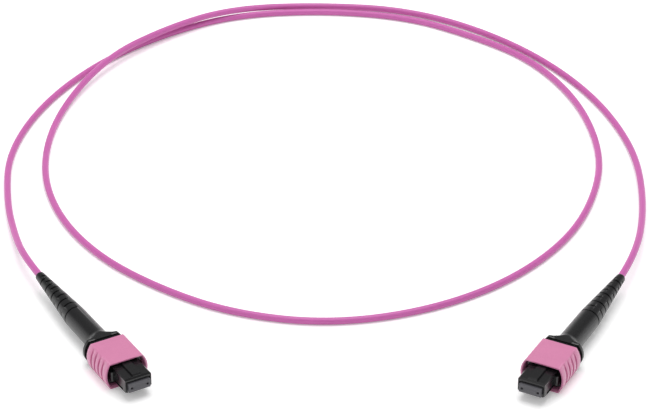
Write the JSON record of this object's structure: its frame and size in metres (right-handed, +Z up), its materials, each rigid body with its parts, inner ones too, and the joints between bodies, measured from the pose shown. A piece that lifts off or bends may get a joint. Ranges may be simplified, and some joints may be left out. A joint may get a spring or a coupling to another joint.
{
  "type": "mpo fibre patch cord",
  "caption": "Thin round fibre patch cord lying in a loose loop, with a rectangular multi-fibre push-pull plug, ribbed sleeve and slotted strain relief boot at each end.",
  "frame": {"origin": "on the floor, under the middle of connector A's bounding box", "axes": "-Y is the way connector A mates, +Y runs back along its boot, +Z is up, through its key"},
  "size_m": [0.2044, 0.2389, 0.0078],
  "materials": {
    "housing_plastic": "satin",
    "sleeve_plastic": "satin",
    "ferrule_filled_resin": "fine ground",
    "keeper_plastic": "satin",
    "ferrule_boot_rubber": "matte",
    "boot_rubber": "satin",
    "spring_steel": "drawn wire",
    "crimp_metal": "satin",
    "fibre_ribbon": "clear coated",
    "cord_jacket": "satin"
  },
  "bodies": {
    "housings_and_cord": {"inner_housing_a": "housing_plastic", "rear_body_a": "housing_plastic", "crimp_ring_a": "crimp_metal", "strain_relief_boot_a": "boot_rubber", "fibre_bundle_a": "fibre_ribbon", "main_spring_a": "spring_steel", "coupling_spring_left_a": "spring_steel", "coupling_spring_right_a": "spring_steel", "cord_jacket": "cord_jacket", "inner_housing_b": "housing_plastic", "rear_body_b": "housing_plastic", "crimp_ring_b": "crimp_metal", "strain_relief_boot_b": "boot_rubber", "fibre_bundle_b": "fibre_ribbon", "main_spring_b": "spring_steel", "coupling_spring_left_b": "spring_steel", "coupling_spring_right_b": "spring_steel"},
    "sleeve_a": {"coupling_sleeve_a": "sleeve_plastic"},
    "ferrule_group_a": {"ferrule_a": "ferrule_filled_resin", "ferrule_boot_a": "ferrule_boot_rubber", "pin_keeper_a": "keeper_plastic"},
    "sleeve_b": {"coupling_sleeve_b": "sleeve_plastic"},
    "ferrule_group_b": {"ferrule_b": "ferrule_filled_resin", "ferrule_boot_b": "ferrule_boot_rubber", "pin_keeper_b": "keeper_plastic"}
  },
  "joints": [
    {"name": "sleeve_a_slide", "type": "slide", "parent": "housings_and_cord", "child": "sleeve_a", "axis": [0, 1, 0], "range_m": [0, 0.0018], "stiffness_N_per_m": 1000, "springref_m": -0.002, "deforming": ["coupling_spring_left_a", "coupling_spring_right_a"]},
    {"name": "ferrule_a_slide", "type": "slide", "parent": "housings_and_cord", "child": "ferrule_group_a", "axis": [0, 1, 0], "range_m": [0, 0.0008], "stiffness_N_per_m": 3000, "springref_m": -0.003, "deforming": ["main_spring_a"]},
    {"name": "sleeve_b_slide", "type": "slide", "parent": "housings_and_cord", "child": "sleeve_b", "axis": [0.8526, 0.5225, 0], "range_m": [0, 0.0018], "stiffness_N_per_m": 1000, "springref_m": -0.002, "deforming": ["coupling_spring_left_b", "coupling_spring_right_b"]},
    {"name": "ferrule_b_slide", "type": "slide", "parent": "housings_and_cord", "child": "ferrule_group_b", "axis": [0.8526, 0.5225, 0], "range_m": [0, 0.0008], "stiffness_N_per_m": 3000, "springref_m": -0.003, "deforming": ["main_spring_b"]}
  ]
}
